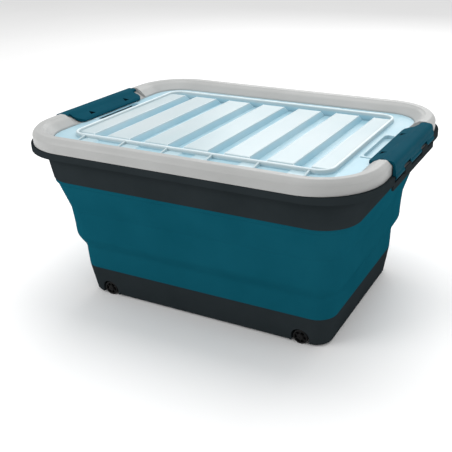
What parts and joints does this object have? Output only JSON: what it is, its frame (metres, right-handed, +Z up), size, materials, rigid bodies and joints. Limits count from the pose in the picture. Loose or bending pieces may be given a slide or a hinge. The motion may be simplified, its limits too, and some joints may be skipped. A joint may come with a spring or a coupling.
{
  "type": "collapsible storage crate",
  "caption": "Rectangular folding storage crate with soft walls between a hard base and a hard top frame, a latched translucent lid and small wheels under the long sides.",
  "frame": {"origin": "on the ground under the middle of the crate, level with the bottoms of its wheels", "axes": "+X along the length, +Y across the width towards the rear long side, +Z up"},
  "size_m": [0.6176, 0.449, 0.305],
  "materials": {
    "charcoal_plastic": "fine-grained moulded plastic, satin",
    "teal_soft_wall": "soft moulded elastomer, matte with a faint sheen",
    "teal_plastic": "moulded plastic, satin",
    "grey_plastic": "smooth moulded plastic, satin",
    "frosted_plastic": "frosted translucent moulding, satin",
    "black_plastic": "moulded plastic, satin",
    "pin_steel": "blackened drawn wire"
  },
  "bodies": {
    "base": {"base_tray": "charcoal_plastic", "lower_wall": "teal_soft_wall", "lower_fold": "teal_soft_wall", "axle_front_left": "black_plastic", "axle_front_right": "black_plastic", "axle_rear_left": "black_plastic", "axle_rear_right": "black_plastic"},
    "front_left_wheel": {"wheel_front_left": "black_plastic"},
    "front_right_wheel": {"wheel_front_right": "black_plastic"},
    "rear_left_wheel": {"wheel_rear_left": "black_plastic"},
    "rear_right_wheel": {"wheel_rear_right": "black_plastic"},
    "middle_ring": {"middle_wall": "teal_soft_wall", "upper_fold": "teal_soft_wall"},
    "top_ring": {"top_frame": "charcoal_plastic"},
    "lid": {"lid_rim": "grey_plastic", "lid_panel": "frosted_plastic"},
    "left_latch": {"latch_left": "teal_plastic", "latch_pin_left": "pin_steel"},
    "right_latch": {"latch_right": "teal_plastic", "latch_pin_right": "pin_steel"}
  },
  "joints": [
    {"name": "lower_collapse", "type": "slide", "parent": "base", "child": "middle_ring", "axis": [0, 0, 1], "range_m": [-0.044, 0], "deforming": ["lower_fold"]},
    {"name": "upper_collapse", "type": "slide", "parent": "middle_ring", "child": "top_ring", "axis": [0, 0, 1], "range_m": [-0.114, 0], "deforming": ["upper_fold"]},
    {"name": "lid_lift", "type": "slide", "parent": "top_ring", "child": "lid", "axis": [0, 0, 1], "range_m": [0, 0.3]},
    {"name": "left_latch_hinge", "type": "hinge", "parent": "lid", "child": "left_latch", "pos_m": [-0.304, 0, 0.28], "axis": [0, -1, 0], "range_deg": [0, 120]},
    {"name": "right_latch_hinge", "type": "hinge", "parent": "lid", "child": "right_latch", "pos_m": [0.304, 0, 0.28], "axis": [0, 1, 0], "range_deg": [0, 120]},
    {"name": "front_left_wheel_spin", "type": "hinge", "parent": "base", "child": "front_left_wheel", "pos_m": [-0.1835, -0.1458, 0.0125], "axis": [0, 1, 0], "continuous": true},
    {"name": "front_right_wheel_spin", "type": "hinge", "parent": "base", "child": "front_right_wheel", "pos_m": [0.1835, -0.1458, 0.0125], "axis": [0, 1, 0], "continuous": true},
    {"name": "rear_left_wheel_spin", "type": "hinge", "parent": "base", "child": "rear_left_wheel", "pos_m": [-0.1835, 0.1458, 0.0125], "axis": [0, 1, 0], "continuous": true},
    {"name": "rear_right_wheel_spin", "type": "hinge", "parent": "base", "child": "rear_right_wheel", "pos_m": [0.1835, 0.1458, 0.0125], "axis": [0, 1, 0], "continuous": true}
  ],
  "couplings": [
    {"joint": "lower_collapse", "follows": "upper_collapse", "ratio": 0.38596}
  ]
}
